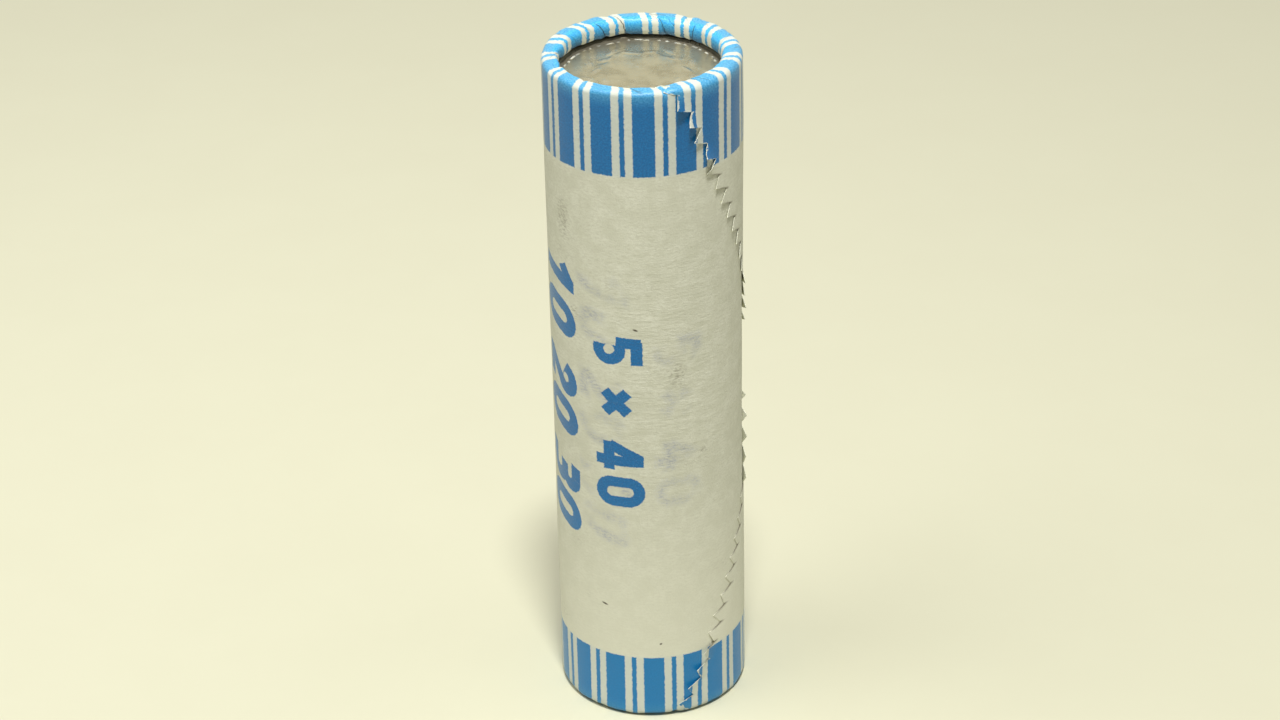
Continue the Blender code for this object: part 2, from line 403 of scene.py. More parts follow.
class Shade:
    """The node tree of a material or a world, with one short method per kind of node.

    Wherever a method takes a value it takes either a number or a Value.
    """

    def __init__(self, owner, shader="Principled BSDF"):
        owner.use_nodes = True
        self.owner = owner
        self.tree = owner.node_tree
        self.shader = self.tree.nodes[shader]

    def node(self, kind, **settings):
        node = self.tree.nodes.new(kind)
        for name, value in settings.items():
            setattr(node, name, value)
        return node

    def fill(self, node, *values, output=0, **named):
        """Feeds a node's sockets, in their order or by name with _ for a blank, and gives one output."""
        sockets = list(node.inputs[:len(values)])
        sockets += [node.inputs[name.replace("_", " ")] for name in named]
        for socket, value in zip(sockets, (*values, *named.values())):
            if isinstance(value, Value):
                self.tree.links.new(value.socket, socket)
            else:
                socket.default_value = value
        return Value(self, node.outputs[output])

    def set(self, **values):
        self.fill(self.shader, **values)

    def math(self, operation, *values):
        return self.fill(self.node("ShaderNodeMath", operation=operation), *values)

    def larger(self, first, second):
        return self.math("MAXIMUM", first, second)

    def smaller(self, first, second):
        return self.math("MINIMUM", first, second)

    def vector(self, operation, *values, **named):
        return self.fill(self.node("ShaderNodeVectorMath", operation=operation), *values, **named)

    def dot(self, first, second):
        return self.vector("DOT_PRODUCT", first, second, output="Value")

    def length(self, vector):
        return self.vector("LENGTH", vector, output="Value")

    def split(self, vector):
        node = self.node("ShaderNodeSeparateXYZ")
        return [self.fill(node, vector, output=axis) for axis in "XYZ"]

    def join(self, x, y, z=0.0):
        return self.fill(self.node("ShaderNodeCombineXYZ"), x, y, z)

    def ease(self, value, low, high):
        """0 up to `low`, 1 from `high` on and a smooth rise between; the other way if low is larger."""
        if low > high:
            return 1.0 - self.ease(value, high, low)
        return self.fill(self.node("ShaderNodeMapRange", interpolation_type="SMOOTHSTEP"), value, low, high)

    def noise(self, vector, scale, detail, roughness=0.5):
        node = self.node("ShaderNodeTexNoise")
        return self.fill(node, Vector=vector, Scale=scale, Detail=detail, Roughness=roughness, output="Fac")

    def mix(self, share, first, second, blend="MIX"):
        node = self.node("ShaderNodeMix", data_type="RGBA", blend_type=blend)
        return self.fill(node, Factor=share, A=first, B=second, output="Result")

    def tint(self, share, colour, tint):
        return self.mix(share * tint[1], colour, tint[0])

    def bump(self, height, distance, strength):
        node = self.node("ShaderNodeBump")
        return self.fill(node, Height=height, Distance=distance * MM, Strength=strength)

    def place(self):
        return self.fill(self.node("ShaderNodeTexCoord"), output="Object")

    def attribute(self, name):
        return self.fill(self.node("ShaderNodeAttribute", attribute_name=name), output="Fac")


class PaperShade(Shade):
    """A material of the paper strip, which knows the place on the flat strip and the paper's textures."""

    def __init__(self, name):
        super().__init__(bpy.data.materials.new(name))
        self.flat = self.fill(self.node("ShaderNodeUVMap", uv_map=FLAT_MAP))
        self.along, self.across, _ = self.split(self.flat)
        self.fibres = self.noise(self.vector("MULTIPLY", self.flat, FIBRE_STRETCH), *FIBRES)
        self.grain = self.noise(self.flat, *GRAIN)


# Digits of the print, on a cap height of 1: bars from point to point, whole rings (centre, radius, half
# the straight stretch) and arcs (centre, radius, the way they face, how far back they reach)
GLYPHS = {
    "0": [("ring", (0.33, 0.5), 0.23, 0.17)],
    "1": [("bar", (0.36, 0.0), (0.36, 1.0)), ("bar", (0.06, 0.68), (0.36, 0.92))],
    "2": [
        ("arc", (0.33, 0.69), 0.21, (0.45, 0.89), 0.10),
        ("bar", (0.54, 0.64), (0.10, 0.10)),
        ("bar", (0.02, 0.10), (0.64, 0.10)),
    ],
    "3": [
        ("arc", (0.34, 0.715), 0.185, (1.0, 0.0), 0.0),
        ("arc", (0.34, 0.31), 0.22, (1.0, 0.0), 0.0),
        ("bar", (0.05, 0.90), (0.35, 0.90)),
        ("bar", (0.17, 0.53), (0.35, 0.53)),
        ("bar", (0.02, 0.09), (0.35, 0.09)),
    ],
    "4": [
        ("bar", (0.46, 0.0), (0.46, 1.0)),
        ("bar", (0.42, 0.94), (0.08, 0.30)),
        ("bar", (0.02, 0.28), (0.68, 0.28)),
    ],
    "5": [
        ("bar", (0.10, 0.90), (0.62, 0.90)),
        ("bar", (0.15, 0.98), (0.12, 0.48)),
        ("arc", (0.30, 0.33), 0.23, (1.0, 0.0), 0.10),
    ],
    "x": [("bar", (0.06, 0.22), (0.54, 0.70)), ("bar", (0.06, 0.70), (0.54, 0.22))],
    " ": [],
}


def bar_distance(shade, point, start, end, half_width):
    """How far a point lies outside a straight stroke."""
    middle, axis = (start + end) / 2, (end - start).normalized()
    from_middle = shade.vector("SUBTRACT", point, (middle.x, middle.y, 0))
    ahead = abs(shade.dot(from_middle, (axis.x, axis.y, 0)))
    aside = abs(shade.dot(from_middle, (-axis.y, axis.x, 0)))
    return shade.larger(ahead - (end - start).length / 2, aside - half_width)


def round_distance(shade, from_centre, radius, half_width):
    """How far a place, given from the centre of a round stroke, lies outside that stroke."""
    return abs(shade.length(from_centre) - radius) - half_width


def stroke_distance(shade, point, stroke, offset, half_width):
    """How far a point on the print lies outside one stroke of a digit."""
    kind, *shape = stroke
    shift = Vector((offset, 0))
    if kind == "bar":
        return bar_distance(shade, point, Vector(shape[0]) + shift, Vector(shape[1]) + shift, half_width)
    centre = Vector(shape[0]) + shift
    from_centre = shade.vector("SUBTRACT", point, (centre.x, centre.y, 0))
    if kind == "ring":
        _, radius, stretch = shape
        x, y, _ = shade.split(from_centre)
        middle = shade.smaller(shade.larger(y, -stretch), stretch)
        return round_distance(shade, shade.join(x, y - middle), radius, half_width)
    _, radius, facing, reach = shape
    behind = shade.dot(from_centre, (-facing[0], -facing[1], 0))
    return shade.larger(round_distance(shade, from_centre, radius, half_width), behind - reach)


def line_distance(shade, along, line):
    """Distance in millimetres outside one line of printed digits, which reads downwards."""
    up = along - line["foot"]
    down = line["top"] - shade.across - up * line["slant"]
    point = shade.vector("SCALE", shade.join(down, up), Scale=1 / line["cap"])
    distances, offset = [], 0.0
    for sign in line["signs"]:
        for stroke in GLYPHS[sign]:
            distances.append(stroke_distance(shade, point, stroke, offset, line["half_width"]))
        offset += line["step"] if sign != " " else line["blank"]
    return reduce(shade.smaller, distances) * line["cap"]


def print_distance(shade, along):
    """Distance in millimetres outside the printed digits, which repeat along the strip."""
    distances = []
    for line in PRINT_LINES:
        repeated = shade.math("WRAP", along, PRINT_REPEAT * line["repeats"] + PRINT_FROM, PRINT_FROM)
        distances.append(line_distance(shade, repeated, line))
    return reduce(shade.smaller, distances)


def band_distance(shade):
    """Distance in millimetres outside the two printed bands."""
    return (BAND_TOP - BAND_BOTTOM) / 2 - abs(shade.across - (BAND_TOP + BAND_BOTTOM) / 2)


def stripe_distance(shade, along):
    """Distance in millimetres outside the stripes of the printed bands."""
    from_wide = abs(shade.math("WRAP", along - STRIPE_CENTRE, STRIPE_PERIOD / 2, -STRIPE_PERIOD / 2))
    off_wide = from_wide - WIDE_STRIPE / 2
    off_narrow = STRIPE_PERIOD / 2 - from_wide - NARROW_STRIPE / 2
    return shade.larger(shade.smaller(off_wide, off_narrow), band_distance(shade))


def off_wall(shade, start, end):
    """0 on the wall and 1 on the rims, rising between two distances past either end of the wall."""
    wall_end = ROLL_HEIGHT / 2 - RIM_BEND
    return shade.ease(abs(shade.across - ROLL_HEIGHT / 2), wall_end + start, wall_end + end)


def oval_patch(shade, along, across, half_along, half_across):
    """A soft oval patch round a place on the strip, 1 in its middle."""
    aside = (shade.along - along) * (1 / half_along)
    above = (shade.across - across) * (1 / half_across)
    return shade.ease(shade.length(shade.join(aside, above)), *OVAL_BLUR)


def thin_lines(shade, place, scale, width, sparse):
    """Fine broken lines, 1 at their middle, where a noise crosses its mean."""
    crossing = abs(shade.noise(place, scale, LINE_DETAIL) - 0.5)
    kept = shade.noise(shade.vector("ADD", place, LINE_GAP_SHIFT), scale * LINE_GAP_SCALE, LINE_DETAIL)
    return shade.ease(crossing, width, 0.0) * shade.ease(kept, sparse, sparse + LINE_GAP_BLUR)


def bare_paper(shade):
    """Colour and height of the uncoated paper."""
    clouds = shade.ease(shade.noise(shade.flat, *CLOUDS), *CLOUD_EDGES)
    hairs = thin_lines(shade, shade.flat, *HAIRS)
    paper = shade.mix(clouds, PAPER_DULL, PAPER_BRIGHT)
    paper = shade.mix(shade.ease(shade.fibres, *FIBRE_EDGES), paper, FIBRE_COLOUR)
    height = shade.fibres * FIBRE_HEIGHT + shade.grain * GRAIN_HEIGHT + hairs * HAIR_HEIGHT
    return shade.tint(hairs, paper, HAIR_TINT), height


def show_through(shade, paper):
    """Print of the turn below, faint on the wall and bluish between the stripes of the bands."""
    below = shade.ease(print_distance(shade, shade.along - GHOST_SHIFT), *GHOST_BLUR)
    blotches = shade.ease(shade.noise(shade.flat, *BLOTCHES), *BLOTCH_EDGES)
    ghost = below * blotches * shade.ease(shade.fibres, *GHOST_FIBRES)
    in_band = shade.ease(band_distance(shade), BAND_BLUR, -BAND_BLUR)
    return shade.tint(in_band, shade.tint(ghost, paper, GHOST_TINT), BAND_TINT)


def specks(shade):
    """Small dark specks at listed places on the paper."""
    found = []
    for along, across, half_length, tilt in SPECKS:
        aside = shade.along - along
        above = aside * tilt + (shade.across - across)
        spread = shade.length(shade.join(aside * (SPECK_HALF_WIDTH / half_length), above))
        found.append(shade.ease(spread, *SPECK_EDGES))
    return reduce(shade.larger, found)


def smudges(shade):
    """Rubbed grey patches: a few listed ones and a faint scatter."""
    scatter = shade.ease(shade.noise(shade.flat, *SCATTER), *SCATTER_EDGES) * SCATTER_SHARE
    patches = [oval_patch(shade, *smudge) for smudge in SMUDGES]
    return reduce(shade.larger, patches, scatter) * shade.ease(shade.fibres, *SMUDGE_FIBRES)


def soiled_and_shaded(shade, paper):
    """Smudges and specks on the paper, and painted shade along the teeth's cut edges."""
    paper = shade.tint(smudges(shade), paper, SMUDGE_TINT)
    paper = shade.mix(specks(shade), paper, SPECK_COLOUR)
    # painted shade along the teeth's cut edges
    return shade.mix(shade.attribute("notch_shade"), paper, NOTCH_SHADE_COLOUR)


def crinkles(shade):
    """Fine level crinkles, deepest on the upper front of the wall."""
    lines = shade.noise(shade.vector("MULTIPLY", shade.flat, CRINKLE_STRETCH), *CRINKLES)
    return lines * (oval_patch(shade, *CRINKLE_PATCH) * (1 - CRINKLE_LEAST) + CRINKLE_LEAST)


def fine_creases(shade):
    """Fine broken creases that run askew over the rims."""
    slanted = shade.across * FINE_CREASE_SLANT + shade.along
    return thin_lines(shade, shade.join(slanted, shade.across * FINE_CREASE_STRETCH), *FINE_CREASES)


def rim_creases(shade):
    """Thin creases over the upper rim, 1 at their middle, which dent the paper and darken it with painted
    shade.
    """
    run = shade.across - (ROLL_HEIGHT - RIM_BEND)
    past_heart = run - PLEAT_HEART
    start, end = CREASE_ENDS
    held = shade.ease(run, start, start + CREASE_TAPER) * shade.ease(run, end, end - CREASE_TAPER)
    along = shade.along + (shade.fibres * CREASE_WANDER - CREASE_WANDER / 2)
    lines = []
    for turn, slant, _ in CREASES:
        middle = math.radians(turn - 360) * (ROLL_RADIUS - PAPER / 2) + RIM_TWIST
        lean = slant * ROLL_RADIUS / (ROLL_RADIUS - RIM_BEND) + RIM_TWIST / (3 * RIM_BEND)
        lines.append(shade.ease(abs(along - middle - past_heart * lean), CREASE_HALF_WIDTH, 0.0))
    return reduce(shade.larger, lines) * held


def painted_tuck_shade(shade):
    """1 where near-black painted shade stands for the dark gap on the paper tucked in under the rims'
    flanks, against the end coins.
    """
    upper = shade.across - (ROLL_HEIGHT - RIM_BEND)
    lower = RIM_BEND - shade.across
    found = []
    for run, flank in ((upper, UPPER_FLANK), (lower, LOWER_FLANK)):
        flank_end = rim_run(flank) - RIM_TUCK - RIM_BEND * math.pi / 2
        found.append(shade.ease(run, flank_end + TUCK_SHADE_FROM, flank_end + TUCK_SHADE_TO))
    return shade.larger(*found)


def ink_share(shade, on_rim):
    """1 on the printed stripes and digits and 0 on bare paper, with uneven edges and a frayed end."""
    jag = shade.noise(shade.vector("MULTIPLY", shade.flat, JAG_STRETCH), *JAGGED_INK) - 0.5
    uneven = shade.noise(shade.flat, *UNEVEN_INK) - 0.5
    ragged = shade.noise(shade.flat, *RAGGED_INK) - 0.5
    edge = uneven * INK_UNEVEN + (shade.grain * INK_GRAIN - INK_GRAIN / 2)
    off_stripes = stripe_distance(shade, jag * on_rim * RIM_JAG + shade.along) + edge
    off_digits = print_distance(shade, shade.along) + edge
    stripes = shade.ease(off_stripes, INK_BLUR, -INK_BLUR)
    digits = shade.ease(off_digits, INK_BLUR, -INK_BLUR)
    pinholes = shade.ease(shade.grain, *PINHOLE_EDGES) * PINHOLE_DEPTH
    ink = shade.larger(stripes, digits * (1.0 - pinholes))
    from_edge = shade.attribute("from_edge") - ragged * FRAYED_EDGE
    return ink * shade.ease(from_edge, 0.0, FRAY_BLUR)


def ink_blue(shade, flecks):
    """Blue of the ink: flecked, with painted light that makes it paler on the rims and painted shade on
    their inner flanks.
    """
    blue = shade.mix(flecks, *WALL_BLUES)
    blue = shade.tint(shade.ease(shade.fibres, *FIBRE_INK_EDGES), blue, FIBRE_INK_TINT)
    for dark, light, reach in RIM_INK_LIGHT_AND_SHADE:
        blue = shade.mix(off_wall(shade, *reach), blue, shade.mix(flecks, dark, light))
    return blue


def printed_paper(name):
    """The strip's outer face: stained and creased paper under blue ink, with painted light and shade where
    noted below.
    """
    shade = PaperShade(name)
    paper, height = bare_paper(shade)
    on_rim = off_wall(shade, *ON_RIM)
    # painted light: paper and ink paler towards the foot of the wall, as if lit by the floor
    foot = shade.ease(shade.across, *FOOT_LIGHT_FADE)
    paper = show_through(shade, shade.tint(foot, paper, FOOT_LIGHT_TINT))
    paper = shade.mix(on_rim, soiled_and_shaded(shade, paper), RIM_PAPER)
    flecks = shade.ease(shade.noise(shade.flat, *FLECKS), *FLECK_EDGES)
    blue = shade.tint(foot, ink_blue(shade, flecks), FOOT_INK_LIGHT_TINT)
    creases = shade.larger(fine_creases(shade) * (on_rim * FINE_CREASE_SHARE), rim_creases(shade))
    ink = ink_share(shade, on_rim)
    # painted shade darkens the creases
    colour = shade.tint(creases, shade.mix(ink, paper, blue), CREASE_SHADE_TINT)
    # near-black painted shade in the gap under the rims' flanks
    colour = shade.mix(painted_tuck_shade(shade), colour, TUCK_SHADE_COLOUR)
    height = height + crinkles(shade) * CRINKLE_HEIGHT + flecks * FLECK_HEIGHT + creases * CREASE_HEIGHT
    shade.set(Base_Color=colour, Roughness=ink * INK_GLOSS + PRINT_ROUGHNESS)
    shade.set(Normal=shade.bump(height, PRINT_BUMP, PAPER_BUMP_STRENGTH))
    return shade.owner


def plain_paper(name):
    """The strip's inner face and its cut edges: bare paper, with painted shade under the teeth."""
    shade = PaperShade(name)
    paper, height = bare_paper(shade)
    # painted shade along the teeth's cut edges
    colour = shade.mix(shade.attribute("notch_shade"), paper, NOTCH_SHADE_COLOUR)
    shade.set(Base_Color=colour, Roughness=BARE_ROUGHNESS)
    shade.set(Normal=shade.bump(height, BARE_BUMP, PAPER_BUMP_STRENGTH))
    return shade.owner


def coin_metal(name):
    """Worn copper-nickel: hazy towards the rim, with polish on its relief that also carries a near-white
    painted glint, and with scratches and dirty pits.
    """
    shade = Shade(bpy.data.materials.new(name))
    place = shade.vector("SCALE", shade.place(), Scale=1 / MM)
    blotch = shade.noise(place, *COIN_BLOTCHES)
    pits = shade.noise(place, *COIN_PITS)
    scratch = thin_lines(shade, shade.vector("MULTIPLY", place, SCRATCH_STRETCH), *SCRATCHES)
    polish_and_glint = shade.attribute("polish_and_glint")
    x, y, _ = shade.split(place)
    haze = shade.ease(shade.length(shade.join(x, y)), *COIN_HAZE)
    colour = shade.mix(shade.ease(blotch, *COIN_BLOTCH_EDGES), COIN_LIGHT, COIN_DARK)
    colour = shade.mix(shade.ease(pits, *COIN_PIT_EDGES), colour, PIT_COLOUR)
    # near-white painted glint on the dashes and leaves
    colour = shade.mix(polish_and_glint, shade.tint(scratch, colour, SCRATCH_TINT), POLISH_GLINT_COLOUR)
    rough = blotch * BLOTCH_ROUGHNESS + COIN_ROUGHNESS + pits * PIT_ROUGHNESS
    rough = rough + haze * HAZE_ROUGHNESS + polish_and_glint * POLISH_ROUGHNESS
    metallic = polish_and_glint * POLISH_METALLIC + COIN_METALLIC
    shade.set(Base_Color=colour, Metallic=metallic, Roughness=rough)
    shade.set(Normal=shade.bump(scratch * SCRATCH_HEIGHT + pits, COIN_BUMP, COIN_BUMP_STRENGTH))
    return shade.owner


def ease(value, low, high):
    """0 up to `low`, 1 from `high` on and a smooth rise between."""
    share = np.clip((value - low) / (high - low), 0, 1)
    return share * share * (3 - 2 * share)


def add_values(mesh, name, values):
    """One number for each vertex of a mesh, which its material reads by name."""
    mesh.attributes.new(name, "FLOAT", "POINT").data.foreach_set("value", values.astype(np.float32))


def leaf_relief(x, y):
    """Low leaves of a plain wreath on a coin's face, from 0 to 1."""
    height = np.zeros(np.broadcast(x, y).shape)
    for index in range(LEAVES):
        turn = WREATH_HALF_SPAN * (2 * index / (LEAVES - 1) - 1)
        outwards = 1 if index % 2 else -1
        radius = WREATH_RADIUS + outwards * LEAF_STAGGER
        lean = turn + math.pi / 2 - outwards * LEAF_LEAN
        for hand in (-1, 1):
            from_x = hand * (x - hand * radius * math.cos(turn))
            from_y = y - radius * math.sin(turn)
            ahead = from_x * math.cos(lean) + from_y * math.sin(lean)
            aside = from_y * math.cos(lean) - from_x * math.sin(lean)
            inside = 1 - (ahead / LEAF_HALF_LENGTH) ** 2 - (aside / LEAF_HALF_WIDTH) ** 2
            height = np.maximum(height, np.sqrt(np.clip(inside, 0, None)))
    return height


def dash_relief(radius, angle):
    """A ring of short raised dashes inside the coin's rim, from 0 to 1."""
    height = np.zeros(np.broadcast(radius, angle).shape)
    for index in range(DASHES):
        middle = math.tau * (index + coin_rng.uniform(-DASH_JITTER, DASH_JITTER)) / DASHES
        half = math.tau / DASHES * coin_rng.uniform(*DASH_HALF_LENGTHS)
        raised = coin_rng.uniform(*DASH_RAISES)
        ring = DASH_RADIUS + coin_rng.uniform(-DASH_STRAY, DASH_STRAY)
        aside = np.abs((angle - middle + math.pi) % math.tau - math.pi) - half
        ends = np.clip(-aside * DASH_RADIUS / DASH_SLOPE, 0, 1)
        sides = np.clip((DASH_HALF_WIDTH - np.abs(radius - ring)) / DASH_SLOPE, 0, 1)
        height = np.maximum(height, raised * np.minimum(ends, sides))
    return height


def plateau_relief(radius, angle):
    """A low worn rise in the middle of the face, with a wavy border, from 0 to 1."""
    border = PLATEAU_RADIUS
    for count, width, phase in PLATEAU_WAVES:
        border = border + width * np.cos(count * angle + phase)
    return 1 - ease(radius, border - PLATEAU_SLOPE / 2, border + PLATEAU_SLOPE / 2)


def coin_height(radius, angle):
    """Height of a coin's face over its rim's top, with worn relief on a lower field, and its polish, which
    also stands for a painted glint.
    """
    field = -COIN_FIELD * (1 - ease(radius, COIN_FIELD_RADIUS, COIN_RIM_RADIUS))
    swell = sum(np.cos(count * angle + phase) * radius for count, phase in SWELL_WAVES)
    worn = COIN_SWELL * swell / COIN_RADIUS * np.cos(radius * SWELL_NUMBER)
    inside = 1 - ease(radius, COIN_FIELD_RADIUS - COIN_FIELD_EASE, COIN_FIELD_RADIUS)
    leaves = leaf_relief(radius * np.cos(angle), radius * np.sin(angle))
    dashes = dash_relief(radius, angle)
    relief = LEAF_HEIGHT * leaves + DASH_HEIGHT * dashes + worn
    relief += PLATEAU_HEIGHT * plateau_relief(radius, angle)
    return field + relief * inside, np.maximum(LEAF_POLISH_AND_GLINT * leaves, dashes) * inside


def coin_mesh(name, box, outward):
    """A coin with relief on the face that looks out of the roll (outward is 1 up, -1 down)."""
    down, inward = COIN_ROUNDING * np.array(COIN_ROUNDING_STEPS).T
    rings = np.concatenate([np.arange(*zone) for zone in COIN_RING_ZONES])
    radii = np.concatenate((rings, (COIN_RADIUS - COIN_ROUNDING,), COIN_RADIUS - inward))
    angle = np.linspace(0, math.tau, COIN_SIDES, endpoint=False)
    radius = np.repeat(radii[:, None], COIN_SIDES, axis=1)
    face, polish_and_glint = coin_height(radius, angle)
    face[-len(down):] = -down[:, None] ** 2 / COIN_ROUNDING
    back = np.array((
        (COIN_RADIUS, COIN_ROUNDING), (COIN_RADIUS - COIN_ROUNDING, 0), (COIN_RIM_RADIUS, 0),
        (COIN_FIELD_RADIUS, COIN_FIELD), (COIN_BACK_CENTRE, COIN_FIELD),
    ))
    thickness = (box[1].z - box[0].z) / MM
    radius = np.vstack((radius, np.repeat(back[:, :1], COIN_SIDES, axis=1)))
    height = np.vstack((face, np.repeat(back[:, 1:] - thickness, COIN_SIDES, axis=1)))
    top = (box[1].z if outward > 0 else box[0].z) / MM
    points = (radius * np.cos(angle), outward * radius * np.sin(angle), top + outward * height)
    number = np.arange(radius.size).reshape(radius.shape)
    ahead = np.roll(number, -1, axis=1)
    quads = np.stack((number[:-1], number[1:], ahead[1:], ahead[:-1]), axis=-1).reshape(-1, 4).tolist()
    ends = [number[0].tolist(), number[-1, ::-1].tolist()]
    mesh = bpy.data.meshes.new(name)
    mesh.from_pydata((np.stack(points, axis=-1).reshape(-1, 3) * MM).tolist(), [], quads + ends)
    add_values(mesh, "polish_and_glint", np.pad(polish_and_glint.ravel(), (0, radius.size - polish_and_glint.size)))
    mesh.shade_smooth()
    mesh.set_sharp_from_angle(angle=COIN_SHARP_ANGLE)
    return mesh


def rim_run(flank):
    """Length of paper from the wall's end to the strip's edge, over one rim."""
    return 1.5 * math.pi * RIM_BEND + RIM_LAND + flank + RIM_TUCK


def rim_place(run, flank):
    """Outer face of the outermost turn on a rim, after a run from the wall's end, and its normal.

    Each array is (radius, depth): depth is counted from the rim's top into the roll. The paper bends
    round three quarters, with a straight stretch after each.
    """
    quarter = RIM_BEND * math.pi / 2
    outer = np.array((ROLL_RADIUS - RIM_BEND, RIM_BEND))
    inner = outer - (RIM_LAND, 0)
    under = inner + (0, flank)
    stops = np.cumsum((quarter, RIM_LAND, quarter, flank, quarter))
    place, normal = np.zeros((len(run), 2)), np.zeros((len(run), 2))
    for index, length in enumerate(run):
        section = int(np.searchsorted(stops, length))
        spent = length - (stops[section - 1] if section else 0)
        bends = (section + 1) // 2
        turned = bends * math.pi / 2 + (spent / RIM_BEND if section % 2 == 0 else 0)
        centre = (outer, outer - (spent, 0), inner, inner + (0, spent), under, under + (spent, 0))[section]
        normal[index] = math.cos(turned), -math.sin(turned)
        place[index] = centre + RIM_BEND * normal[index]
    return place, normal


def strip_profile(rows):
    """Radius, height and normal of the outermost turn's outer face at each row of the strip."""
    place = np.column_stack((np.full(len(rows), ROLL_RADIUS), rows))
    normal = np.tile((1.0, 0.0), (len(rows), 1))
    low, high = rows < RIM_BEND, rows > ROLL_HEIGHT - RIM_BEND
    place[low], normal[low] = rim_place(RIM_BEND - rows[low], LOWER_FLANK)
    upper, upper_normal = rim_place(rows[high] - ROLL_HEIGHT + RIM_BEND, UPPER_FLANK)
    place[high] = upper * (1, -1) + (0, ROLL_HEIGHT)
    normal[high] = upper_normal * (1, -1)
    return place, normal


def by_leg(rows, values):
    """The lower or the upper leg's value at each row."""
    return np.where(rows < TAIL_HEIGHT, values[-1], values[1])


def tooth_curl(row, side):
    """How sharply a tooth of the cut end curls away from the roll, as a seeded bend per millimetre."""
    if row > ROLL_HEIGHT - RIM_BEND or row < RIM_BEND:
        return 0.0
    if row > BAND_TOP:
        return rng.uniform(*TOP_BAND_CURLS)
    if row < BAND_BOTTOM:
        return rng.uniform(*LOW_BAND_CURLS)
    if abs(row - TAIL_HEIGHT) < APEX_REACH:
        return rng.uniform(*APEX_CURLS)
    return rng.uniform(*LEG_CURLS[side])


def tooth_points(row, arc, side, rise):
    """Tip and valley of one tooth, and where its painted shade sets in and stops, as (row, arc, curl,
    shade_strength).
    """
    curl = tooth_curl(row, side)
    valley = row - side * TOOTH_SHORT_SIDE, arc + TOOTH_REACH
    tip = (row, arc, curl, 0.0)
    if not NOTCH_SHADE_ROWS[0] < row < NOTCH_SHADE_ROWS[1] or abs(row - TAIL_HEIGHT) <= APEX_REACH:
        return [(*valley, curl, 0.0), tip]
    shade_strength = NOTCH_SHADE_DEPTHS[side]
    lip = row - side * NOTCH_SHADE_SHARE * TOOTH_SHORT_SIDE, arc + NOTCH_SHADE_SHARE * TOOTH_REACH
    stop_row = valley[0] - side * NOTCH_SHADE_STOP * (rise - TOOTH_SHORT_SIDE)
    stop_arc = valley[1] + NOTCH_SHADE_STOP * (TAIL_SLOPES[side] * rise - TOOTH_REACH)
    return [(*lip, curl, NOTCH_SHADE_FADE * shade_strength), (stop_row, stop_arc, curl, 0.0), (*valley, curl, shade_strength), tip]


def tail_teeth():
    """The cut end's points as (row, arc, curl, strength of painted shade), from the lower to the upper edge
    of the strip.
    """
    points = []
    for side, flank in ((-1, LOWER_FLANK), (1, UPPER_FLANK)):
        rise = TOOTH_PITCH / math.hypot(1, TAIL_SLOPES[side])
        reach = TAIL_HEIGHT + 2 * rim_run(flank)
        tip = FIRST_TEETH[side]
        while tip < reach:
            row = TAIL_HEIGHT + side * tip
            arc = TAIL_ARC - TAIL_SLOPES[side] * tip + rng.normal(0, TOOTH_SCATTER)
            if BAND_TOP < row < ROLL_HEIGHT - RIM_BEND:
                arc += BAND_TOOTH_SHIFT
            points += tooth_points(row, arc, side, rise)
            tip += rise
    return np.array(sorted(points))


def strip_rows(teeth):
    """Rows across the strip: one at each point of the cut end, and closer ones over the rims."""
    bend = RIM_BEND * math.pi / 2 / BEND_ROWS
    wall_end = ROLL_HEIGHT - RIM_BEND
    wall = [row for row in teeth[:, 0] if RIM_BEND + ROW_CLEARANCE < row < wall_end - ROW_CLEARANCE]
    steps = [(low, high) for low, high in zip(wall, wall[1:]) if low > EXTRA_ROWS_ABOVE]
    wide = [(low, high) for low, high in steps if high - low > WIDE_ROW_STEP]
    between = [low + (high - low) * share for low, high in wide for share in EXTRA_ROW_SHARES]
    low_end = RIM_BEND - rim_run(LOWER_FLANK)
    high_end = wall_end + rim_run(UPPER_FLANK)
    low = np.linspace(low_end, RIM_BEND, round((RIM_BEND - low_end) / bend) + 1)
    high = np.linspace(wall_end, high_end, round((high_end - wall_end) / bend) + 1)
    return np.concatenate((low, sorted(wall + between), high))


def climb(wound):
    """How far the strip has climbed outwards after winding through an angle."""
    turns = np.floor(wound / math.tau)
    left = (turns + 1) * math.tau - wound
    return PAPER_PITCH * (turns + np.maximum(0, 1 - left / TURN_CLIMB))


def along_strip(wound):
    """Length on the strip, which is 0 at the front of the second turn and grows to the right there."""
    steps = np.linspace(0, STRIP_START, LENGTH_STEPS)
    radius = ROLL_RADIUS - PAPER / 2 - WOUND_DEPTH + climb(steps)
    lengths = np.concatenate(((0,), np.cumsum((radius[1:] + radius[:-1]) / 2 * np.diff(steps))))
    return np.interp(STRIP_START - math.tau, steps, lengths) - np.interp(wound, steps, lengths)


def ripple(angle, row, waves, strength, angle_counts, row_lengths):
    """A seeded sum of cosine waves over the roll, closed round it."""
    total = np.zeros(np.broadcast(angle, row).shape)
    for _ in range(waves):
        count = rng.integers(*angle_counts)
        number = math.tau / rng.uniform(*row_lengths) * rng.choice((-1, 1))
        total += np.cos(count * angle + number * row + rng.uniform(0, math.tau))
    return total * strength / math.sqrt(waves)


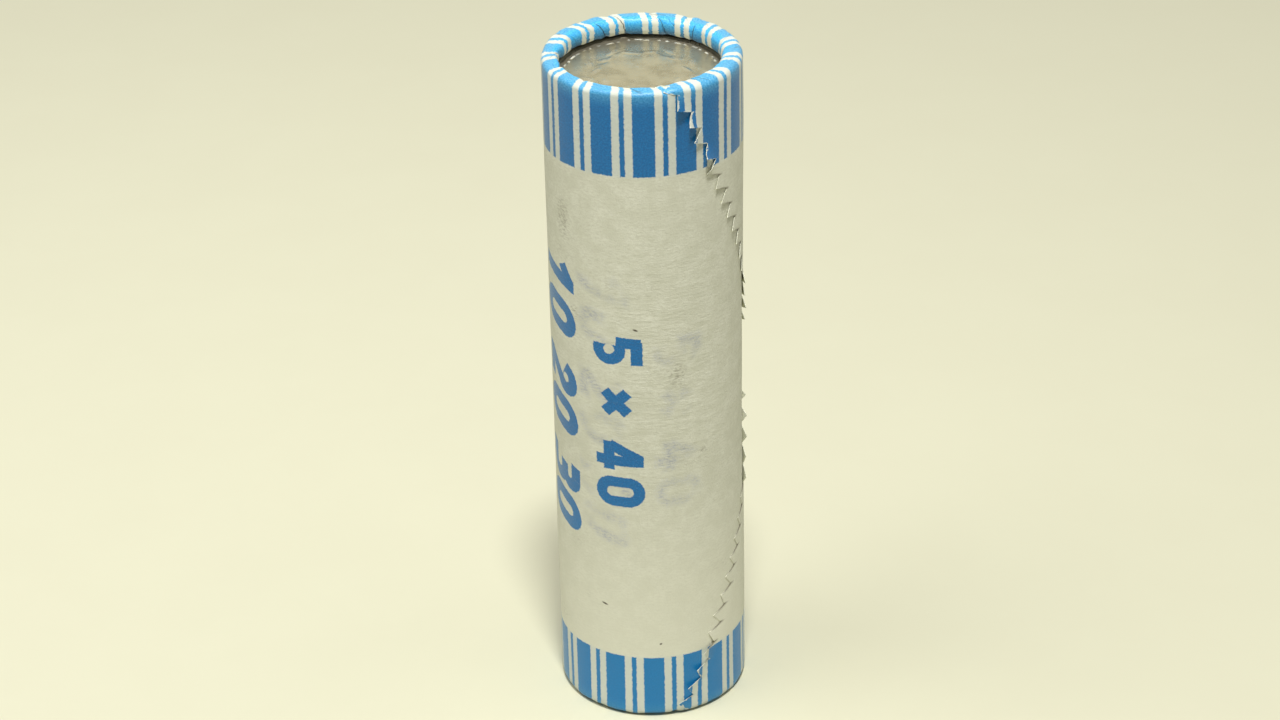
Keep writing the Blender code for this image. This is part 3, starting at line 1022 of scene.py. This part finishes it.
def rim_relief(angle, past_wall):
    """Lumps and slanting pleats of the rolled rims, from the wall's end inwards."""
    relief = ripple(angle, past_wall, *RIM_RIPPLE)
    pleats = [(math.radians(turn), slant, depth) for turn, slant, depth in CREASES]
    for _ in range(PLEATS):
        pleats.append((rng.uniform(0, math.tau), rng.uniform(*PLEAT_SLANTS), rng.uniform(*PLEAT_DEPTHS)))
    for middle, slant, depth in pleats:
        aside = (angle - middle + math.pi) % math.tau - math.pi
        aside = aside * (ROLL_RADIUS - RIM_BEND) - slant * (past_wall - PLEAT_HEART)
        relief -= depth * np.exp(-((aside / PLEAT_WIDTH) ** 2))
    return relief


def curled(length, curl):
    """Where paper that curls away from the roll gets to: how far ahead, how far out, and its turn."""
    curl = np.maximum(curl, LEAST_CURL)
    turned = curl * np.maximum(length - TOOTH_STIFF, 0)
    ahead = np.minimum(length, TOOTH_STIFF) + np.sin(turned) / curl
    return ahead, (1 - np.cos(turned)) / curl, turned


def wound_columns(root, length):
    """Angle that the strip has wound through at each grid point: even columns, then tail and teeth."""
    hidden = np.arange(0, SEEN_FROM, HIDDEN_STEP)
    seen = np.arange(SEEN_FROM, TAIL_FROM, SEEN_STEP)
    body = np.tile(np.concatenate((hidden, seen)), (len(root), 1))
    tail = TAIL_FROM + (root - TAIL_FROM) * np.linspace(0, 1, TAIL_COLUMNS)
    return np.hstack((body, tail, root + length / ROLL_RADIUS))


def wound_skin(rows, angle, offset, turned, depth):
    """Places of one face of the paper, which lies `depth` below its outer face.

    The outer face stands `offset` off the outermost turn and is `turned` away from the roll.
    """
    place, normal = strip_profile(rows)
    offset = offset - depth * np.cos(turned)
    angle = angle - depth * np.sin(turned) / ROLL_RADIUS
    radius = place[:, :1] + normal[:, :1] * offset
    height = np.maximum(place[:, 1:] + normal[:, 1:] * offset, 0)
    return np.stack((radius * np.sin(angle), -radius * np.cos(angle), height), axis=-1)


def wrapper_mesh():
    """The wound strip as one thin closed solid on a grid of rows and columns."""
    teeth = tail_teeth()
    rows = strip_rows(teeth)
    edge_arc, curl, shade_strength = (np.interp(rows, teeth[:, 0], values) for values in teeth.T[1:])
    leg_arc = TAIL_ARC - by_leg(rows, TAIL_SLOPES) * np.abs(rows - TAIL_HEIGHT)
    root_arc = np.maximum(leg_arc + TOOTH_REACH + TOOTH_ROOT, edge_arc + TOOTH_ROOT / 2)[:, None]
    root = STRIP_START - root_arc / ROLL_RADIUS
    tooth_length = root_arc - edge_arc[:, None]
    length = tooth_length * TOOTH_SHARES
    wound = wound_columns(root, length)

    def on_teeth(values):
        """Values on the teeth's columns, after zeros on all others."""
        return np.pad(values, ((0, 0), (wound.shape[1] - len(TOOTH_SHARES), 0)))

    ahead, out, turned = (on_teeth(values) for values in curled(length, curl[:, None]))
    angle = STRIP_START - wound + (on_teeth(length) - ahead) / ROLL_RADIUS
    thinned = PAPER * on_teeth(by_leg(rows, EDGE_THINNING)[:, None] * TOOTH_SHARES)
    past_wall = np.maximum(RIM_BEND - rows, rows - ROLL_HEIGHT + RIM_BEND)[:, None]
    relief = ripple(angle, rows[:, None], *WALL_RIPPLE)
    relief += rim_relief(angle, past_wall) * ease(past_wall, 0, RIM_BEND)
    hugged = TAIL_HUG * ease((wound - root) * ROLL_RADIUS, -TAIL_EASE, 0)
    offset = climb(wound) - WOUND_DEPTH + relief + out - hugged
    skins = [wound_skin(rows, angle, offset, turned, depth) for depth in (thinned, PAPER)]
    along = along_strip(wound) + RIM_TWIST * ease(past_wall, RIM_BEND, 4 * RIM_BEND)
    flat = np.stack((along, np.broadcast_to(rows[:, None], wound.shape)), axis=-1)
    mesh = grid_solid("paper_wrapper_print", skins, flat, sheet_map(wound, rows))
    from_edge = (root + tooth_length / ROLL_RADIUS - wound) * ROLL_RADIUS
    # painted shade along the cut edges under the teeth, fading away from them
    notch_shade = shade_strength[:, None] * np.clip(1 - from_edge / by_leg(rows, NOTCH_SHADE_WIDTHS)[:, None], 0, 1)
    add_values(mesh, "from_edge", np.tile(from_edge.ravel(), 2))
    add_values(mesh, "notch_shade", np.tile(notch_shade.ravel(), 2))
    return mesh


def sheet_map(wound, rows):
    """Places of the strip's outer and inner face on the square map."""
    up = MAP_SHEET_TOP * (rows - rows[0]) / (rows[-1] - rows[0])
    up = np.broadcast_to(up[:, None], wound.shape)
    end = wound.max()
    outer = np.interp(wound, (0, SEEN_FROM, end), MAP_OUTER)
    inner = np.interp(wound, (0, TAIL_FROM, end), MAP_INNER)
    return np.stack((outer, up), axis=-1), np.stack((inner, up), axis=-1)


def edge_map(count):
    """Places of the strip's cut edges, `count` faces in a row along the top of the square map."""
    start = np.arange(count) / count
    along = np.stack((start + 1 / count, start, start, start + 1 / count), axis=-1)
    up = np.broadcast_to((MAP_EDGE_START, MAP_EDGE_START, 1, 1), along.shape)
    return np.stack((along, up), axis=-1).reshape(-1, 2)


def add_map(mesh, name, places):
    """A UV map of a mesh from one place for each face corner."""
    layer = mesh.uv_layers.new(name=name)
    layer.uv.foreach_set("vector", places.astype(np.float32).ravel())


def grid_solid(name, skins, flat, sheets):
    """A closed mesh between two like grids; only the first one's faces take the first material."""
    row_count, column_count = skins[0].shape[:2]
    count = row_count * column_count
    number = np.arange(count).reshape(row_count, column_count)
    corners = (number[:-1, :-1], number[1:, :-1], number[1:, 1:], number[:-1, 1:])
    outer = np.stack(corners, axis=-1).reshape(-1, 4)
    inner = outer[:, ::-1] + count
    loop = np.concatenate((number[:-1, 0], number[-1, :-1], number[:0:-1, -1], number[0, :0:-1]))
    ahead = np.roll(loop, -1)
    rim = np.stack((ahead, loop, loop + count, ahead + count), axis=-1)
    faces = np.concatenate((outer, inner, rim))
    points = np.concatenate([skin.reshape(-1, 3) for skin in skins]) * MM
    mesh = bpy.data.meshes.new(name)
    mesh.from_pydata(points.tolist(), [], faces.tolist())
    add_map(mesh, FLAT_MAP, np.tile(flat.reshape(-1, 2), (2, 1))[faces.ravel()])
    spread = np.concatenate([sheet.reshape(-1, 2) for sheet in sheets])[faces.ravel()]
    spread[-rim.size:] = edge_map(len(rim))
    add_map(mesh, SHEET_MAP, spread)
    mesh.polygons.foreach_set("material_index", (np.arange(len(faces)) >= len(outer)).astype(np.int32))
    mesh.shade_smooth()
    mesh.set_sharp_from_angle(angle=PAPER_SHARP_ANGLE)
    return mesh


def add_object(name, data):
    """A new object in the scene."""
    added = bpy.data.objects.new(name, data)
    bpy.context.scene.collection.objects.link(added)
    return added


def add_piece(name, mesh, materials, body, node):
    """A visible piece that stands for one CAD node and rides on its body."""
    piece = add_object(name, mesh)
    for material in materials:
        mesh.materials.append(material)
    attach(piece, body)
    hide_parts(node)


def build_wrapper():
    """The paper strip, printed on its outer face."""
    paper = [printed_paper("wrapper_print"), plain_paper("wrapper_bare")]
    add_piece("paper_wrapper_print", wrapper_mesh(), paper, "wrapper", "paper_wrapper")


def build_coins():
    """The end coins get a face with relief; the others, out of sight, keep the frame's shape."""
    metal = coin_metal("worn_nickel")
    for name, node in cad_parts.items():
        if name.startswith("coin_"):
            node.data.materials.clear()
            node.data.materials.append(metal)
    for name, outward in (("coin_01", 1), ("coin_40", -1)):
        mesh = coin_mesh(name + "_struck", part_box(name), outward)
        add_piece(name + "_struck", mesh, [metal], name, name)


def looked_at(shade):
    """1 for rays from the camera, from a mirror or through glass, and 0 for those that only carry light."""
    rays = shade.node("ShaderNodeLightPath")
    kinds = ("Is Camera Ray", "Is Glossy Ray", "Is Transmission Ray")
    return reduce(shade.larger, [shade.fill(rays, output=kind) for kind in kinds])


def floor_cream(name):
    """Pale floor, which merges into the backdrop far from the roll where it is looked at."""
    shade = Shade(bpy.data.materials.new(name))
    place = shade.place()
    # painted pool of light round a spot left of the roll, darker away from it
    away = shade.ease(shade.length(shade.vector("SUBTRACT", place, FLOOR_LIGHT_SPOT)), *FLOOR_POOL_FADE)
    cream = shade.mix(away, FLOOR_POOL_COLOUR, FLOOR_OFF_POOL_COLOUR)
    speckle = shade.ease(shade.noise(place, *FLOOR_SPECKLES), *FLOOR_SPECKLE_EDGES)
    cream = shade.tint(speckle, cream, FLOOR_SPECKLE_TINT)
    seen = looked_at(shade)
    thrown = seen * (1 - FLOOR_BOUNCE) + FLOOR_BOUNCE
    cream = shade.mix(1.0, cream, shade.join(thrown, thrown, thrown), "MULTIPLY")
    merged = shade.ease(shade.length(place), *FLOOR_FAR) * seen
    shade.set(Base_Color=shade.mix(merged, cream, BLACK), Roughness=FLOOR_ROUGHNESS, Specular_IOR_Level=0.0)
    shade.set(Emission_Color=BACKDROP_COLOUR, Emission_Strength=merged)
    return shade.owner


def build_floor():
    """A plain square floor under the roll."""
    mesh = bpy.data.meshes.new("floor")
    corners = [(x * FLOOR_HALF, y * FLOOR_HALF, 0) for x, y in ((-1, -1), (1, -1), (1, 1), (-1, 1))]
    mesh.from_pydata(corners, [], [(0, 1, 2, 3)])
    mesh.materials.append(floor_cream("floor_cream"))
    floor = add_object("floor", mesh)


def build_light():
    """A lamp high in front of the roll and weaker, softer ones at its sides."""
    for name, (place, size, power) in LAMPS.items():
        data = bpy.data.lights.new(name, "AREA")
        data.shape = "DISK"
        data.size = size
        data.energy = power
        data.color = LAMP_COLOUR
        lamp = add_object(name, data)
        lamp.location = place
        lamp.rotation_euler = (LAMP_AIM - lamp.location).to_track_quat("-Z", "Y").to_euler()


def build_world():
    """A weak even fill, and a pale backdrop where it is looked at or mirrored."""
    world = bpy.data.worlds.new("studio")
    bpy.context.scene.world = world
    shade = Shade(world, "Background")
    fill = shade.fill(shade.shader, FILL_COLOUR)
    backdrop = shade.fill(shade.node("ShaderNodeBackground"), BACKDROP_COLOUR)
    blend = shade.fill(shade.node("ShaderNodeMixShader"), looked_at(shade), fill, backdrop)
    shade.tree.links.new(blend.socket, shade.tree.nodes["World Output"].inputs["Surface"])


def build_camera():
    """The photograph's viewpoint."""
    data = bpy.data.cameras.new("camera")
    data.lens = CAMERA_LENS
    data.sensor_width = CAMERA_SENSOR
    data.clip_start = CAMERA_CLIP * MM
    camera = add_object("camera", data)
    tilt = Matrix.Rotation(math.pi / 2 - CAMERA_ELEVATION, 4, "X")
    back = tilt.to_3x3() @ Vector((0, 0, CAMERA_DISTANCE))
    roll = Matrix.Rotation(CAMERA_ROLL, 4, "Z")
    camera.matrix_world = Matrix.Translation((CAMERA_TARGET + back) * MM) @ tilt @ roll
    bpy.context.scene.camera = camera


build_camera()
build_light()
build_world()
build_floor()
build_wrapper()
build_coins()
bpy.context.scene.view_settings.view_transform = "Standard"
